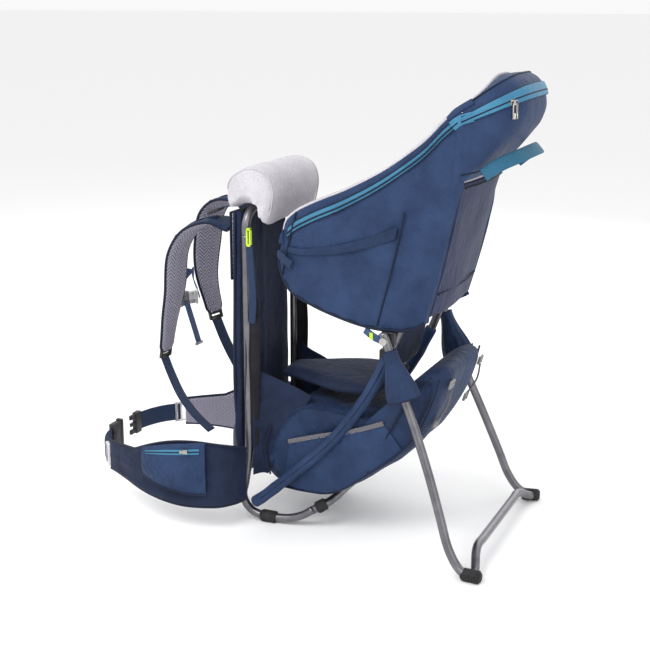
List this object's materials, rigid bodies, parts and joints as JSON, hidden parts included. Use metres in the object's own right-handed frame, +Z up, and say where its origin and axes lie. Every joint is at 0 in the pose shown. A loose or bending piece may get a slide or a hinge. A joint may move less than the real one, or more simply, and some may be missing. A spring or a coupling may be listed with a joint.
{
  "type": "baby carrier backpack",
  "caption": "Framed child-carrier backpack with a fold-out tube stand, padded cockpit, storage bag, shoulder harness and hip belt.",
  "frame": {"origin": "centre of the bounding box's bottom, on the ground that the stand's feet and the base pads rest on", "axes": "+Z up, +Y away from the wearer towards the stand, +X to the wearer's left"},
  "size_m": [0.4626, 0.871, 0.862],
  "materials": {
    "frame_tube": "satin dark anodised",
    "rubber": "matte",
    "black_plastic": "matte",
    "grey_plastic": "satin",
    "lime_plastic": "gloss",
    "steel": "satin",
    "navy_fabric": "woven polyester",
    "dark_navy_fabric": "woven polyester",
    "spacer_mesh": "spacer mesh",
    "jersey": "soft knit",
    "teal_webbing": "webbing",
    "navy_webbing": "ribbed webbing"
  },
  "bodies": {
    "root": {"frame_rail_left": "frame_tube", "frame_rail_right": "frame_tube", "base_pad_front_left": "rubber", "base_pad_front_right": "rubber", "base_pad_rear_left": "rubber", "base_pad_rear_right": "rubber", "pivot_bracket_left": "black_plastic", "pivot_bracket_right": "black_plastic", "pivot_pin_left": "steel", "pivot_pin_right": "steel", "child_strap_left": "navy_webbing", "child_strap_right": "navy_webbing", "cockpit_wall_left": "navy_fabric", "cockpit_wall_right": "navy_fabric", "frame_base_loop": "frame_tube", "frame_top_bow": "frame_tube", "frame_rear_hoop": "frame_tube", "back_panel": "dark_navy_fabric", "lumbar_pad": "spacer_mesh", "seat_cushion": "dark_navy_fabric", "seat_back": "dark_navy_fabric", "child_buckle": "black_plastic", "cockpit_rear_wall": "navy_fabric", "headrest_hood": "navy_fabric", "front_pillow": "jersey", "storage_bag": "navy_fabric"},
    "stand": {"kickstand": "frame_tube", "kickstand_foot_left": "rubber", "kickstand_foot_right": "rubber", "leg_sleeve_left": "navy_fabric", "leg_sleeve_right": "navy_fabric"},
    "button_left": {"lock_button_left": "black_plastic"},
    "button_right": {"lock_button_right": "black_plastic"},
    "harness": {"harness_yoke": "dark_navy_fabric", "chest_buckle_socket": "grey_plastic", "chest_strap_end": "navy_webbing", "shoulder_strap_left": "spacer_mesh", "shoulder_strap_right": "spacer_mesh", "strap_webbing_left": "navy_webbing", "strap_webbing_right": "navy_webbing", "load_lifter_left": "navy_webbing", "load_lifter_right": "navy_webbing", "chest_webbing_left": "navy_webbing", "chest_webbing_right": "navy_webbing"},
    "chest_prong": {"chest_buckle_prong": "grey_plastic"},
    "hip_left": {"hip_wing_left": "dark_navy_fabric", "hip_pocket_left": "navy_fabric", "hip_webbing_left": "navy_webbing", "hip_buckle_socket": "black_plastic"},
    "hip_right": {"hip_wing_right": "dark_navy_fabric", "hip_pocket_right": "navy_fabric", "hip_webbing_right": "navy_webbing", "hip_buckle_prong": "black_plastic"},
    "hip_zip_left": {"hip_zip_slider_left": "steel"},
    "hip_zip_right": {"hip_zip_slider_right": "steel"},
    "handle": {"grab_handle": "teal_webbing"},
    "zip": {"cockpit_zip_slider": "steel"},
    "zip_pull": {"cockpit_zip_pull": "steel"},
    "hook_left": {"entry_hook_left": "lime_plastic"},
    "hook_right": {"entry_hook_right": "lime_plastic"}
  },
  "joints": [
    {"name": "stand_fold", "type": "hinge", "parent": "root", "child": "stand", "pos_m": [0, 0.2127, 0.404], "axis": [1, 0, 0], "range_deg": [-44, 0]},
    {"name": "lock_button_left_press", "type": "slide", "parent": "stand", "child": "button_left", "axis": [1, 0, 0], "range_m": [0, 0.003], "stiffness_N_per_m": 400},
    {"name": "lock_button_right_press", "type": "slide", "parent": "stand", "child": "button_right", "axis": [-1, 0, 0], "range_m": [0, 0.003], "stiffness_N_per_m": 400},
    {"name": "torso_length", "type": "slide", "parent": "root", "child": "harness", "axis": [0, 0, 1], "range_m": [-0.06, 0]},
    {"name": "chest_release", "type": "slide", "parent": "harness", "child": "chest_prong", "axis": [-0.9004, 0.435, 0], "range_m": [0, 0.014], "deforming": ["chest_webbing_right"]},
    {"name": "hip_wing_left_open", "type": "hinge", "parent": "root", "child": "hip_left", "pos_m": [0.118, -0.0813, 0.11], "axis": [0, 0, 1], "range_deg": [0, 35]},
    {"name": "hip_zip_left_slide", "type": "slide", "parent": "hip_left", "child": "hip_zip_left", "axis": [0.1251, -0.9869, -0.1019], "range_m": [0, 0.04]},
    {"name": "hip_wing_right_open", "type": "hinge", "parent": "root", "child": "hip_right", "pos_m": [-0.118, -0.0813, 0.11], "axis": [0, 0, -1], "range_deg": [0, 35]},
    {"name": "hip_zip_right_slide", "type": "slide", "parent": "hip_right", "child": "hip_zip_right", "axis": [-0.1251, -0.9869, -0.1019], "range_m": [0, 0.04]},
    {"name": "grab_handle_swing", "type": "hinge", "parent": "root", "child": "handle", "pos_m": [0, 0.3667, 0.696], "axis": [1, 0, 0], "range_deg": [-40, 6]},
    {"name": "cockpit_zip_slide", "type": "slide", "parent": "root", "child": "zip", "axis": [0.6896, -0.6597, -0.2988], "range_m": [0, 0.016]},
    {"name": "zip_pull_swing", "type": "hinge", "parent": "zip", "child": "zip_pull", "pos_m": [0.1036, 0.416, 0.8165], "axis": [0.6919, -0.7219, 0], "range_deg": [0, 110]},
    {"name": "entry_hook_left_swing", "type": "hinge", "parent": "root", "child": "hook_left", "pos_m": [0.121, -0.0693, 0.575], "axis": [0, -1, 0], "range_deg": [0, 60]},
    {"name": "entry_hook_right_swing", "type": "hinge", "parent": "root", "child": "hook_right", "pos_m": [-0.121, -0.0693, 0.575], "axis": [0, 1, 0], "range_deg": [0, 60]}
  ]
}
